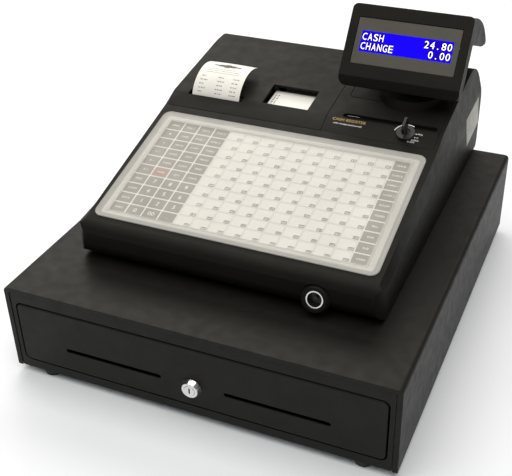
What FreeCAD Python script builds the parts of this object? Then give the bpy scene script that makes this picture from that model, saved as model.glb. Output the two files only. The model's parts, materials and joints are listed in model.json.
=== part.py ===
import FreeCAD, Part
import math
import os

# Desktop cash register standing on a steel cash drawer.
# Millimetres, +Z up, -Y is the operator's side, +X is the operator's right.
# The origin is on the table, under the middle of the whole object.

Vec = FreeCAD.Vector

# ---- driving dimensions: cash drawer ----
foot_height = 8.0
drawer_half_width = 205.0
drawer_front = -234.0
drawer_rear = 222.0
drawer_height = 98.5
sheet = 1.2
hem_width = 5.4
edge_bend = 5.0
opening_half_width = 194.3
opening_bottom = 18.4
opening_top = 90.2
opening_radius = 7.0
front_gap = 1.6
tray_half_width = 181.0
tray_bottom = 22.0
tray_top = 86.0
tray_front = -219.8
tray_rear = 178.0
slot_half_length = 53.5
slot_centre = 87.0
slot_height = 4.6
slot_z = 45.0
lock_z = 43.0
lock_ring_radius = 10.5
lock_face = -240.0
foot_radius = 10.5
foot_x = 170.0
foot_y = (-222.0, 205.0)

# ---- driving dimensions: cash till ----
till_half_width = 178.0
till_front = -216.0
till_rear = 150.0
till_floor = 24.5
till_top = 80.0
till_wall = 2.4
bill_count = 5
bill_front = -88.0
divider_top = 69.0
cup_columns = 4
cup_rows = 2
clip_axle_y = 140.0
clip_axle_z = 74.0
clip_axle_radius = 2.0

# ---- driving dimensions: register case ----
case_half_width = 162.0
case_bottom = 109.5
case_front = -161.5
case_rear = 240.0
case_wall = 2.6
parting_z = 122.0
parting_gap = 0.4
deck_origin = Vec(0, -145.7, 151.9)
deck_slope = 14.31
deck_rear = 31.0
top_plane_y = 63.6
top_plane_z = 207.6
top_slope = math.atan(0.1685)
lip_top_y = 53.0
cover_left = -170.0
cover_right = 28.8
panel_left = 29.4
panel_right = 153.4
cover_rear = 214.0
panel_rear = 196.0
hinge_y = 205.0
hinge_z = 207.0
hinge_pin_radius = 2.0
hinge_clearance_radius = 9.0
running_gap = 0.05

# ---- driving dimensions: keyboard ----
board_half_width = 146.0
board_depth = 160.0
cover_half_width = 151.2
cover_depth = 170.3
key_grid_start = 10.0
key_grid_depth = 147.4
key_grid_half_width = 138.6

# ---- driving dimensions: printer ----
platen_y = 58.6
platen_z = 190.0
platen_radius = 6.0
platen_shaft_radius = 2.5
gear_module = 0.8
platen_teeth = 30
pinion_teeth = 14
motor_angle = -30.0
receipt_left = -134.5
receipt_right = -76.0
journal_left = -49.0
journal_right = 9.0
roll_radius = 31.0
roll_y = 132.0
roll_z = 162.0
spool_y = 92.0
spool_z = 184.0
window_front = 55.5
window_rear = 93.0
window_left = -50.0
window_right = 5.0
slot_left = -139.0
slot_right = -73.0
slot_front = 50.4
slot_rear = 60.5
receipt_curve = ((51.3, 200.4), (51.6, 216.0), (78.0, 236.0), (106.0, 223.6))

# ---- driving dimensions: locks, reader and display ----
mode_lock_x = 119.5
mode_lock_y = 45.0
reader_centre = Vec(97.6, -165.5, 126.0)
reader_tilt = 15.0
head_x = 98.5
head_half_width = 66.5
head_low = -48.5
head_high = 40.5
face_low = -39.5
head_tilt = 53.5
head_centre_y = 101.0
head_centre_z = 276.0
head_wall = 2.5
head_corner = 6.0
bezel_depth = 9.0
slab_depth = 18.0
screen_half_width = 57.0
screen_low = -25.5
screen_high = 26.0
tilt_axis_y = 136.0
tilt_axis_z = 256.0
pedestal_x = 105.0
pedestal_y = 118.0
pedestal_radius = 40.0
groove_left = 46.0
groove_right = 150.0
groove_front = 53.8
groove_rear = 61.6
outline_left = 40.0
outline_right = 150.6
outline_front = 92.6
outline_rear = 178.0
outline_depth = 0.8

drawer_bottom = foot_height
drawer_top = foot_height + drawer_height


# ---- small helpers ----
def box(x0, x1, y0, y1, z0, z1):
    return Part.makeBox(x1 - x0, y1 - y0, z1 - z0, Vec(x0, y0, z0))


def rod(start, direction, radius, length):
    return Part.makeCylinder(radius, length, start, direction)


def rod_x(x0, x1, y, z, radius):
    return rod(Vec(x0, y, z), Vec(1, 0, 0), radius, x1 - x0)


def ring(start, direction, outer, inner, length):
    return rod(start, direction, outer, length).cut(rod(start, direction, inner, length))


def union(shapes):
    joined = shapes[0]
    for shape in shapes[1:]:
        joined = joined.fuse(shape)
    return joined.removeSplitter()


def both_sides(shape):
    return [shape, shape.mirror(Vec(0, 0, 0), Vec(1, 0, 0))]


def prism_x(outline, x0, x1):
    """Solid between x0 and x1 whose side view is the outline of (y, z) points."""
    points = [Vec(x0, y, z) for y, z in outline]
    points.append(points[0])
    return Part.Face(Part.makePolygon(points)).extrude(Vec(x1 - x0, 0, 0))


def rounded_plate(half_width, depth, thickness, radius):
    """Flat plate with round corners: x across, y from 0 to depth, z from 0 to thickness."""
    plate = box(-half_width, half_width, 0, depth, 0, thickness)
    corners = [edge for edge in plate.Edges if abs(edge.tangentAt(edge.FirstParameter).z) > 0.9]
    return plate.makeFillet(radius, corners)


def upright_plate(x0, x1, z0, z1, y0, y1, radius):
    """Plate facing the operator, with round corners in its front view."""
    plate = box(x0, x1, y0, y1, z0, z1)
    corners = [edge for edge in plate.Edges if abs(edge.tangentAt(edge.FirstParameter).y) > 0.9]
    return plate.makeFillet(radius, corners)


def on_deck(shape):
    """Move a shape drawn flat at the origin onto the sloping keyboard deck."""
    placed = shape.copy()
    placed.rotate(Vec(0, 0, 0), Vec(1, 0, 0), deck_slope)
    placed.translate(deck_origin)
    return placed


def deck_height(y):
    return deck_origin.z + (y - deck_origin.y) * math.tan(math.radians(deck_slope))


def top_height(y):
    return top_plane_z + (y - top_plane_y) * math.tan(top_slope)


def gear(teeth, x0, x1, y, z, turn):
    """Spur gear on an axle along X; turn is the angle of its first tooth."""
    pitch_radius = gear_module * teeth / 2.0
    tip = pitch_radius + 0.85 * gear_module
    root = pitch_radius - 1.15 * gear_module
    half_pitch = math.pi / teeth
    outline = []
    for tooth in range(teeth):
        middle = math.radians(turn) + 2.0 * half_pitch * tooth
        for radius, offset in ((root, -0.62), (pitch_radius, -0.44), (tip, -0.22),
                               (tip, 0.22), (pitch_radius, 0.44), (root, 0.62)):
            angle = middle + offset * half_pitch
            outline.append((y + radius * math.cos(angle), z + radius * math.sin(angle)))
    return prism_x(outline, x0, x1)


def save(name, shape):
    shape.exportStep("parts/" + name + ".step")


# ---- cash drawer: fixed housing ----
def drawer_section(inset):
    """Front view of the folded cover: flat sides and a bent edge along the top."""
    half = drawer_half_width - inset
    top = drawer_top - inset
    bend = max(edge_bend - inset, 0.5)
    low = drawer_bottom
    corner = bend * (1.0 - math.sqrt(0.5))
    y = drawer_front
    lines = [
        Part.LineSegment(Vec(-half, y, low), Vec(-half, y, top - bend)),
        Part.Arc(Vec(-half, y, top - bend), Vec(-half + corner, y, top - corner), Vec(-half + bend, y, top)),
        Part.LineSegment(Vec(-half + bend, y, top), Vec(half - bend, y, top)),
        Part.Arc(Vec(half - bend, y, top), Vec(half - corner, y, top - corner), Vec(half, y, top - bend)),
        Part.LineSegment(Vec(half, y, top - bend), Vec(half, y, low)),
        Part.LineSegment(Vec(half, y, low), Vec(-half, y, low)),
    ]
    return Part.Face(Part.Wire([line.toShape() for line in lines]))


def make_drawer_cover():
    depth = Vec(0, drawer_rear - drawer_front, 0)
    outer = drawer_section(0).extrude(depth)
    inner = drawer_section(sheet).extrude(depth)
    hem = drawer_section(0).extrude(Vec(0, sheet, 0))
    hem_hole = drawer_section(hem_width).extrude(Vec(0, sheet, 0))
    return outer.cut(inner).fuse(hem.cut(hem_hole)).removeSplitter()


def make_drawer_base():
    half = drawer_half_width - sheet - 0.2
    front = drawer_front + 2.4
    rear = drawer_rear - 1.8
    floor = box(-half, half, front, rear, drawer_bottom, drawer_bottom + sheet)
    flange = box(half - sheet, half, front, rear, drawer_bottom, drawer_bottom + 15.0)
    return union([floor] + both_sides(flange))


def make_front_frame():
    half = drawer_half_width - hem_width - 0.4
    top = drawer_top - hem_width - 0.4
    face_y = drawer_front + 0.6
    flange_end = face_y + 7.0
    plate = upright_plate(-half, half, drawer_bottom + 0.2, top, face_y, face_y + 1.4, 1.5)
    collar = upright_plate(-opening_half_width - sheet, opening_half_width + sheet, opening_bottom - sheet,
                           opening_top + sheet, face_y + 1.0, flange_end, opening_radius + sheet)
    hole = upright_plate(-opening_half_width, opening_half_width, opening_bottom, opening_top,
                         face_y - 1.0, flange_end + 1.0, opening_radius)
    return plate.fuse(collar).cut(hole).removeSplitter()


def make_rear_panel():
    half = drawer_half_width - sheet - 0.4
    inner_y = drawer_rear - 1.6
    panel = upright_plate(-half, half, drawer_bottom + 1.4, drawer_top - 1.5, inner_y, inner_y + sheet, edge_bend)
    bracket_rear = inner_y
    ears = box(6.0, 9.0, 199.0, bracket_rear, 48.0, 68.0)
    foot = box(-9.0, 9.0, bracket_rear - 2.0, bracket_rear, 20.0, 68.0)
    pin = rod_x(-9.0, 9.0, 205.0, 62.0, 1.5)
    return union([panel, foot, pin] + both_sides(ears))


def channel(web_x, flange_x, half_height, front, rear):
    """One slide member on the right side: an upright web with a flange top and bottom."""
    middle = 57.0
    low, high = sorted((web_x, flange_x))
    blank = box(low, high, front, rear, middle - half_height, middle + half_height)
    inside = half_height - 1.2
    if web_x > flange_x:
        hollow = box(low - 1.0, high - 1.2, front, rear, middle - inside, middle + inside)
    else:
        hollow = box(low + 1.2, high + 1.0, front, rear, middle - inside, middle + inside)
    return blank.cut(hollow)


def make_outer_rails():
    rail = channel(193.6, 186.6, 18.0, -210.0, 190.0)
    brackets = [box(193.6, 202.2, y, y + 24.0, 45.0, 69.0) for y in (-190.0, 140.0)]
    return Part.makeCompound(both_sides(union([rail] + brackets)))


def make_middle_rails():
    return Part.makeCompound(both_sides(channel(191.6, 185.0, 15.0, -212.0, 186.0)))


def make_inner_rails():
    return Part.makeCompound(both_sides(channel(181.1, 188.6, 12.0, -214.0, 176.0)))


def make_latch_lever():
    arm = box(-4.0, 4.0, 182.5, 205.0, 58.0, 62.0)
    hook = box(-4.0, 4.0, 182.5, 186.5, 53.4, 58.0)
    eye = rod_x(-4.0, 4.0, 205.0, 62.0, 4.5)
    bore = rod_x(-5.0, 5.0, 205.0, 62.0, 1.5 + running_gap)
    return union([arm, hook, eye]).cut(bore)


def make_latch_solenoid():
    coil_case = box(-14.0, 14.0, 196.5, 218.0, 24.0, 46.0)
    plunger = rod(Vec(0, 201.0, 46.0), Vec(0, 0, 1), 2.5, 8.6)
    return union([coil_case, plunger])


def make_ejector_springs():
    spring = ring(Vec(80.0, tray_rear + 0.6, 50.0), Vec(0, 1, 0), 7.0, 5.2, 220.2 - tray_rear - 0.8)
    return Part.makeCompound(both_sides(spring))


def make_drawer_feet():
    feet = []
    for x in (-foot_x, foot_x):
        for y in foot_y:
            pad = Part.makeCone(foot_radius - 1.5, foot_radius, foot_height, Vec(x, y, 0))
            recess = rod(Vec(x, y, 0), Vec(0, 0, 1), 4.2, 3.5)
            feet.append(pad.cut(recess))
    return Part.makeCompound(feet)


def make_screws():
    """Pan-head screws: through the four drawer feet and into the drawer's rear panel edge."""
    screws = []
    for x in (-foot_x, foot_x):
        for y in foot_y:
            head = rod(Vec(x, y, 1.2), Vec(0, 0, 1), 3.8, 2.2)
            screws.append(head)
    for x in (-190.0, 190.0):
        for z in (30.0, 90.0):
            screws.append(rod(Vec(x, drawer_rear - 0.3, z), Vec(0, 1, 0), 3.4, 1.8))
    return Part.makeCompound(screws)


# ---- cash drawer: moving tray ----
def make_drawer_tray():
    outer = box(-tray_half_width, tray_half_width, tray_front, tray_rear, tray_bottom, tray_top)
    inner = box(-tray_half_width + sheet, tray_half_width - sheet, tray_front + sheet, tray_rear - sheet,
                tray_bottom + sheet, tray_top + 1.0)
    tray = outer.cut(inner)
    ear = box(9.0, 11.0, tray_rear, 196.0, 44.0, 54.0)
    bar = rod_x(-11.0, 11.0, 193.0, 50.0, 2.0)
    return union([tray, bar] + both_sides(ear))


def make_drawer_front():
    half = opening_half_width - front_gap
    low = opening_bottom + 1.4
    high = opening_top - 1.4
    rear = tray_front - 0.2
    blank = upright_plate(-half, half, low, high, drawer_front, rear, opening_radius - 1.5)
    front_edges = [e for e in blank.Edges if max(v.Point.y for v in e.Vertexes) < drawer_front + 0.1]
    blank = blank.makeFillet(1.2, front_edges)
    hollow = upright_plate(-half + sheet, half - sheet, low + sheet, high - sheet,
                           drawer_front + 1.6, rear + 1.0, opening_radius - 2.5)
    panel = blank.cut(hollow)
    for x in (-slot_centre, slot_centre):
        end = slot_height / 2.0 - 0.01
        panel = panel.cut(upright_plate(x - slot_half_length, x + slot_half_length, slot_z - slot_height / 2.0,
                                        slot_z + slot_height / 2.0, drawer_front - 1.0, drawer_front + 3.0, end))
    panel = panel.cut(rod(Vec(0, drawer_front - 1.0, lock_z), Vec(0, 1, 0), 8.2, 4.0))
    cam_slot = box(-7.0, 32.0, -227.5, -221.5, high - 3.0, high + 1.0)
    return panel.cut(cam_slot)


def make_drawer_lock_body():
    neck = rod(Vec(0, drawer_front - 0.2, lock_z), Vec(0, 1, 0), 8.0, 8.0)
    flange = Part.makeCone(lock_ring_radius - 2.2, lock_ring_radius, 5.6, Vec(0, lock_face + 0.2, lock_z), Vec(0, 1, 0))
    nut = rod(Vec(0, drawer_front + 1.8, lock_z), Vec(0, 1, 0), 12.0, 3.0)
    bore = rod(Vec(0, lock_face - 1.0, lock_z), Vec(0, 1, 0), 5.5 + running_gap, 20.0)
    return union([neck, flange, nut]).cut(bore)


def make_drawer_lock_cylinder():
    plug = rod(Vec(0, lock_face, lock_z), Vec(0, 1, 0), 5.5, 14.0)
    tail = rod(Vec(0, lock_face + 14.0, lock_z), Vec(0, 1, 0), 3.2, 4.0)
    keyway = box(-0.7, 0.7, lock_face - 1.0, lock_face + 9.0, lock_z - 3.2, lock_z + 3.2)
    return union([plug, tail]).cut(keyway)


def make_drawer_lock_cam():
    hub = rod(Vec(0, -225.8, lock_z), Vec(0, 1, 0), 6.0, 2.0)
    arm = box(0, 52.0, -225.8, -223.8, lock_z - 5.0, lock_z + 5.0)
    hole = rod(Vec(0, -226.5, lock_z), Vec(0, 1, 0), 3.2 + running_gap, 4.0)
    return union([hub, arm]).cut(hole)


# ---- cash till ----
def bill_pitch():
    return (2.0 * till_half_width - till_wall) / bill_count


def bill_centre(index):
    return -till_half_width + till_wall / 2.0 + bill_pitch() * (index + 0.5)


def make_till():
    till = box(-till_half_width, till_half_width, till_front, till_rear, till_floor, till_top)
    for index in range(bill_count):
        x = bill_centre(index)
        half = (bill_pitch() - till_wall) / 2.0
        till = till.cut(box(x - half, x + half, bill_front, till_rear - till_wall, till_floor + 2.0, till_top + 1.0))
    inner = till_half_width - till_wall
    till = till.cut(box(-inner, inner, bill_front - 1.0, till_rear - till_wall, divider_top, till_top + 1.0))
    till = till.cut(box(-inner, inner, till_front + till_wall, bill_front - till_wall, till_floor + 2.0, till_top + 1.0))
    axle_hole = rod_x(-inner - 1.4, inner + 1.4, clip_axle_y, clip_axle_z, clip_axle_radius)
    return till.cut(axle_hole)


def make_coin_cups():
    inner = till_half_width - till_wall - 0.4
    width = 2.0 * inner / cup_columns
    depth = (bill_front - till_front - 2.0 * till_wall - 0.8) / cup_rows
    low = till_floor + 2.2
    cups = []
    for column in range(cup_columns):
        for row in range(cup_rows):
            x = -inner + width * column + 0.3
            y = till_front + till_wall + 0.4 + depth * row + 0.3
            cup = box(x, x + width - 0.6, y, y + depth - 0.6, low, 74.0)
            scoop = box(x + 1.8, x + width - 2.4, y + 1.8, y + depth - 2.4, low + 1.8, 75.0)
            cups.append(cup.cut(scoop))
    return Part.makeCompound(cups)


def make_clip_axle():
    inner = till_half_width - till_wall
    return rod_x(-inner - 1.2, inner + 1.2, clip_axle_y, clip_axle_z, clip_axle_radius)


def make_bill_clip(index):
    x = bill_centre(index)
    hub = rod_x(x - 12.0, x + 12.0, clip_axle_y, clip_axle_z, 4.4)
    outline = [(138.0, 78.2), (138.0, 74.0), (60.0, 33.4), (46.0, 31.6), (40.0, 36.0), (41.5, 38.0),
               (46.6, 34.2), (59.0, 35.8), (134.0, 76.6)]
    arm = prism_x(outline, x - 9.0, x + 9.0)
    bore = rod_x(x - 13.0, x + 13.0, clip_axle_y, clip_axle_z, clip_axle_radius + running_gap)
    return union([hub, arm]).cut(bore)


# ---- register case ----
def case_outline():
    """Side view of the case: rounded nose, sloping deck, raised printer lip and swelling back."""
    nose_top = Vec(0, -152.0, deck_height(-152.0))
    deck_end = Vec(0, deck_rear + 1.0, deck_height(deck_rear + 1.0))
    lip_end = Vec(0, lip_top_y, top_height(lip_top_y))
    plane_end = Vec(0, 150.0, top_height(150.0))
    lines = [
        Part.Arc(Vec(0, -143.0, case_bottom), Vec(0, -156.5, 114.6), Vec(0, case_front, 127.0)),
        Part.LineSegment(Vec(0, case_front, 127.0), Vec(0, case_front, 136.0)),
        Part.Arc(Vec(0, case_front, 136.0), Vec(0, -158.8, 145.6), nose_top),
        Part.LineSegment(nose_top, deck_end),
        Part.LineSegment(deck_end, lip_end),
        Part.LineSegment(lip_end, plane_end),
        Part.Arc(plane_end, Vec(0, 172.0, 225.2), Vec(0, 186.0, 225.6)),
        Part.Arc(Vec(0, 186.0, 225.6), Vec(0, 202.5, 218.6), Vec(0, 214.0, 205.8)),
        Part.Arc(Vec(0, 214.0, 205.8), Vec(0, 231.0, 170.0), Vec(0, case_rear, 142.0)),
        Part.LineSegment(Vec(0, case_rear, 142.0), Vec(0, 226.0, case_bottom)),
        Part.LineSegment(Vec(0, 226.0, case_bottom), Vec(0, -143.0, case_bottom)),
    ]
    return Part.Wire([line.toShape() for line in lines])


def side_cutter(inset):
    """Removes the outside of the leaning upper flank, right-hand side."""
    sections = []
    for y, edge_x, edge_z, crease_z in ((-175.0, 155.5, 148.0, 144.0), (-152.0, 155.5, 150.3, 146.5),
                                        (50.0, 158.0, 205.3, 169.0), (250.0, 158.0, 228.0, 190.0)):
        low = Vec(case_half_width - inset, y, crease_z)
        top = Vec(edge_x - inset, y, edge_z)
        far = low + (top - low) * 5.0
        corners = [low, far, Vec(240.0, y, far.z), Vec(240.0, y, crease_z)]
        sections.append(Part.makePolygon(corners + [low]))
    return Part.makeLoft(sections, True, True)


def case_body(inset):
    """The whole case as one solid, shrunk by the inset on every side."""
    outline = case_outline()
    if inset:
        outline = outline.makeOffset2D(-inset)
    half = case_half_width - inset
    side_view = Part.Face(outline).extrude(Vec(2.0 * half, 0, 0))
    side_view.translate(Vec(-half, 0, 0))
    plan = rounded_plate(half, case_rear - case_front - 2.0 * inset, 200.0, 12.0 - inset)
    plan.translate(Vec(0, case_front + inset, 60.0))
    body = side_view.common(plan)
    for cutter in both_sides(side_cutter(inset)):
        body = body.cut(cutter)
    return body


def make_lower_case(shell):
    tray = shell.common(box(-200, 200, -200, 300, case_bottom - 1.0, parting_z))
    bosses = [rod(Vec(x, y, case_bottom + 2.0), Vec(0, 0, 1), 4.0, 8.0)
              for x in (-140.0, 140.0) for y in (-120.0, 190.0)]
    port_hole = box(-110.0, 60.0, 200.0, 260.0, parting_z - 6.0, parting_z + 1.0)
    return union([tray] + bosses).cut(port_hole).cut(reader_hole())


def cover_region(side_gap, front_gap_width):
    """Space taken by the hinged printer cover: round about its hinge at the rear."""
    left = cover_left
    right = cover_right - side_gap
    top = 260.0
    low_rear = hinge_z - hinge_clearance_radius + side_gap
    front = deck_rear + front_gap_width
    lid = prism_x([(front + 1.4, 186.0 + side_gap), (front, 197.2), (front, top), (hinge_y, top),
                   (hinge_y, low_rear)], left, right)
    heel = rod_x(left, right, hinge_y, hinge_z, hinge_clearance_radius - side_gap)
    back = box(left, right, hinge_y, cover_rear - side_gap, hinge_z, top)
    return union([lid, heel, back])


def panel_region(gap):
    """Space taken by the fixed panel that carries the mode lock and the display."""
    return box(panel_left - 0.6 + gap, panel_right - gap, deck_rear + gap, panel_rear - gap, 186.0 + gap, 260.0)


def hinge_shapes(kind):
    """Eyes and pins of the printer cover, or the brackets of the case that hold them."""
    shapes = []
    for x in (-120.0, -10.0):
        if kind == "cover":
            shapes.append(box(x - 3.0, x + 3.0, hinge_y - 3.6, hinge_y + 3.6, hinge_z, hinge_z + 8.0))
            shapes.append(rod_x(x - 3.0, x + 3.0, hinge_y, hinge_z, 3.6))
            shapes.append(rod_x(x - 7.8, x + 7.8, hinge_y, hinge_z, hinge_pin_radius))
            continue
        for left in (x - 7.6, x + 3.6):
            post = box(left, left + 4.0, hinge_y - 3.6, hinge_y - 0.3, 184.0, hinge_z)
            arm = box(left, left + 4.0, hinge_y - 3.6, 221.0, 184.0, 193.0)
            eye = rod_x(left, left + 4.0, hinge_y, hinge_z, 3.6)
            bore = rod_x(left - 1.0, left + 5.0, hinge_y, hinge_z, hinge_pin_radius + running_gap)
            shapes.append(union([post, arm, eye]).cut(bore))
    return shapes


def make_upper_case(shell):
    shell = shell.common(box(-200, 200, -200, 300, parting_z + parting_gap, 300.0))
    shell = shell.cut(cover_region(0, 0)).cut(panel_region(0))
    opening = rounded_plate(board_half_width, board_depth, 12.0, 4.0)
    opening.translate(Vec(0, (cover_depth - board_depth) / 2.0, -8.0))
    shell = shell.cut(on_deck(opening))
    ledge = box(-156.0, panel_right, deck_rear - 3.4, deck_rear - 0.2, 178.0, 193.0)
    shell = shell.cut(reader_hole())
    port_hole = box(-110.0, 60.0, 200.0, 260.0, parting_z, 164.0)
    shell = shell.cut(port_hole)
    return union([shell, ledge] + hinge_shapes("case"))


def make_printer_cover(shell):
    cover = shell.common(cover_region(0.3, 0.7))
    slot = box(slot_left, slot_right, slot_front, slot_rear, 190.0, 230.0)
    window = box(window_left, window_right, window_front, window_rear, 190.0, 230.0)
    cover = cover.cut(slot).cut(window)
    return union([cover] + hinge_shapes("cover"))


def upright_block(x0, x1, y0, y1, radius):
    """Tall block with round corners in plan, for cutting through the case top."""
    block = rounded_plate((x1 - x0) / 2.0, y1 - y0, 60.0, radius)
    block.translate(Vec((x0 + x1) / 2.0, y0, 190.0))
    return block


def make_lock_panel(shell):
    panel = shell.common(panel_region(0.3))
    panel = panel.cut(upright_block(groove_left, groove_right, groove_front, groove_rear, 3.6))
    outline = upright_block(outline_left, outline_right, outline_front, outline_rear, 6.0)
    inside = upright_block(outline_left + outline_depth, outline_right - outline_depth,
                           outline_front + outline_depth, outline_rear - outline_depth, 5.2)
    panel = panel.cut(outline.cut(inside).cut(case_body(outline_depth)))
    lock_hole = mode_axis_rod(-20.0, 30.0, 6.6)
    wire_hole = rod(Vec(pedestal_x, pedestal_y + 12.0, 190.0), Vec(0, 0, 1), 9.0, 60.0)
    return panel.cut(lock_hole).cut(wire_hole)


def make_register_feet():
    return Part.makeCompound([rod(Vec(x, y, drawer_top), Vec(0, 0, 1), 9.0, case_bottom - drawer_top)
                              for x in (-135.0, 135.0) for y in (-115.0, 195.0)])


# ---- keyboard ----
def make_keyboard_board():
    board = box(-board_half_width - 5.0, board_half_width + 5.0, 1.0, cover_depth - 1.0, -4.6, -3.0)
    parts = [box(x - 6.0, x + 6.0, y, y + 8.0, -6.6, -4.6) for x in (-90.0, 0.0, 90.0) for y in (40.0, 110.0)]
    return on_deck(union([board] + parts))


def make_key_sheet():
    sheet_plate = rounded_plate(board_half_width - 0.8, board_depth - 1.6, 2.6, 3.0)
    sheet_plate.translate(Vec(0, (cover_depth - board_depth) / 2.0 + 0.8, -2.8))
    return on_deck(sheet_plate)


def make_keyboard_cover():
    flange = rounded_plate(cover_half_width, cover_depth, 1.3, 6.0)
    flange.translate(Vec(0, 0, 0.2))
    raised = rounded_plate(key_grid_half_width + 1.5, key_grid_depth + 3.0, 1.2, 3.0)
    raised.translate(Vec(0, key_grid_start - 1.5, 1.5))
    return on_deck(flange.fuse(raised).removeSplitter())


# ---- front reader for the clerk's button key ----
def reader_direction():
    lean = math.radians(reader_tilt)
    return Vec(0, -math.cos(lean), math.sin(lean))


def reader_rod(start, length, radius):
    direction = reader_direction()
    return rod(reader_centre + direction * start, direction, radius, length)


def reader_hole():
    return union([reader_rod(-18.0, 40.0, 12.6), reader_rod(-3.8, 30.0, 15.4)])


def make_reader_bezel():
    collar = reader_rod(-14.0, 14.0, 12.2)
    rim = Part.makeCone(15.0, 12.4, 4.4, reader_centre - reader_direction() * 3.4, reader_direction())
    well = reader_rod(-8.0, 12.0, 9.0)
    return union([collar, rim]).cut(well)


def make_reader_contact():
    cup = ring(reader_centre - reader_direction() * 7.8, reader_direction(), 8.8, 7.2, 7.4)
    button = reader_rod(-7.8, 3.4, 2.2)
    floor = reader_rod(-7.8, 1.2, 8.8)
    return union([cup, button, floor])


# ---- mode lock ----
def lip_slope():
    rise = top_height(lip_top_y) - deck_height(deck_rear + 1.0)
    return math.atan2(rise, lip_top_y - deck_rear - 1.0)


def mode_axis_rod(start, length, radius):
    slope = lip_slope()
    normal = Vec(0, -math.sin(slope), math.cos(slope))
    rise = (mode_lock_y - deck_rear - 1.0) * math.tan(slope)
    foot = Vec(mode_lock_x, mode_lock_y, deck_height(deck_rear + 1.0) + rise)
    return rod(foot + normal * start, normal, radius, length)


def on_lip(shape):
    """Move a shape drawn upright at the origin onto the mode lock's axis."""
    slope = lip_slope()
    rise = (mode_lock_y - deck_rear - 1.0) * math.tan(slope)
    placed = shape.copy()
    placed.rotate(Vec(0, 0, 0), Vec(1, 0, 0), math.degrees(slope))
    placed.translate(Vec(mode_lock_x, mode_lock_y, deck_height(deck_rear + 1.0) + rise))
    return placed


def make_mode_lock_body():
    rim = mode_axis_rod(0.1, 3.6, 9.8)
    barrel = mode_axis_rod(-16.0, 16.2, 6.4)
    bore = mode_axis_rod(-17.0, 30.0, 4.8 + running_gap)
    return union([rim, barrel]).cut(bore)


def make_mode_lock_cylinder():
    plug = rod(Vec(0, 0, -16.0), Vec(0, 0, 1), 4.8, 18.8)
    keyway = box(-0.8, 0.8, -3.2, 3.2, -8.0, 3.0)
    return on_lip(plug.cut(keyway))


def make_mode_key():
    blade = box(-0.7, 0.7, -3.0, 3.0, -7.8, 6.2)
    bow = box(-1.4, 1.4, -8.6, 8.6, 6.0, 20.0)
    edges = [edge for edge in bow.Edges if abs(edge.tangentAt(edge.FirstParameter).x) > 0.9]
    bow = bow.makeFillet(4.0, edges)
    hole = rod(Vec(-3.0, 0, 15.6), Vec(1, 0, 0), 2.2, 6.0)
    return on_lip(union([blade, bow]).cut(hole))


# ---- printer ----
def motor_centre():
    distance = gear_module * (platen_teeth + pinion_teeth) / 2.0 + 0.12
    angle = math.radians(motor_angle)
    return platen_y + distance * math.cos(angle), platen_z + distance * math.sin(angle)


def make_printer_chassis():
    floor = box(-146.0, 24.0, 40.0, 185.0, 124.5, 126.5)
    outline = [(44.0, 126.0), (44.0, 184.0), (53.0, 195.0), (66.0, 195.0), (80.0, 194.0), (112.0, 194.0),
               (150.0, 186.0), (170.0, 160.0), (170.0, 126.0)]
    plates = [prism_x(outline, x, x + 2.0) for x in (-143.0, -72.0, -54.4, 13.0)]
    frame = union([floor] + plates)
    frame = frame.cut(rod_x(-150.0, 30.0, platen_y, platen_z, platen_shaft_radius + running_gap))
    frame = frame.cut(rod_x(-57.0, 30.0, spool_y, spool_z, platen_shaft_radius + running_gap))
    motor_y, motor_z = motor_centre()
    frame = frame.cut(rod_x(-57.0, -50.0, motor_y, motor_z, 4.0))
    return frame.cut(rod_x(-150.0, 30.0, roll_y, roll_z, 5.0 + running_gap))


def make_thermal_heads():
    heads = []
    for left, right in ((receipt_left, receipt_right), (journal_left, journal_right)):
        head = box(left, right, 47.0, 51.2, 184.0, 196.0)
        sink = box(left + 3.0, right - 3.0, 44.5, 47.0, 178.0, 194.0)
        heads.append(union([head, sink]))
    return Part.makeCompound(heads)


def make_receipt_platen():
    roller = rod_x(receipt_left - 1.0, receipt_right + 1.0, platen_y, platen_z, platen_radius)
    shaft = rod_x(-144.0, -63.0, platen_y, platen_z, platen_shaft_radius)
    wheel = gear(platen_teeth, -68.0, -64.0, platen_y, platen_z, 0.0)
    return union([roller, shaft, wheel])


def make_journal_platen():
    roller = rod_x(journal_left - 1.0, journal_right + 1.0, platen_y, platen_z, platen_radius)
    shaft = rod_x(-62.0, 16.0, platen_y, platen_z, platen_shaft_radius)
    wheel = gear(platen_teeth, -61.0, -57.0, platen_y, platen_z, 0.0)
    return union([roller, shaft, wheel])


def pinion_turn():
    """First-tooth angle that puts a pinion gap on the platen gear's tooth at the mesh point."""
    platen_pitch = 360.0 / platen_teeth
    pinion_pitch = 360.0 / pinion_teeth
    phase = (motor_angle / platen_pitch) % 1.0
    return motor_angle + 180.0 + pinion_pitch * (0.5 + phase)


def make_motor_pinion():
    y, z = motor_centre()
    wheel = gear(pinion_teeth, -68.4, -56.6, y, z, pinion_turn())
    shaft = rod_x(-68.4, -50.0, y, z, 1.5)
    return union([wheel, shaft])


def make_print_motor():
    y, z = motor_centre()
    can = rod_x(-52.2, -24.0, y, z, 8.4)
    bore = rod_x(-53.0, -49.0, y, z, 1.5 + running_gap)
    return can.cut(bore)


def paper_roll(left, right):
    roll = rod_x(left, right, roll_y, roll_z, roll_radius)
    core = rod_x(left - 8.4, right + 5.8, roll_y, roll_z, 5.0)
    return union([roll, core])


def make_take_up_spool():
    flanges = [rod_x(x, x + 1.2, spool_y, spool_z, 9.0) for x in (journal_left - 2.0, journal_right + 0.8)]
    drum = rod_x(journal_left - 2.0, journal_right + 2.0, spool_y, spool_z, 7.0)
    shaft = rod_x(-56.0, 16.0, spool_y, spool_z, platen_shaft_radius)
    return union([drum, shaft] + flanges)


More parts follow.
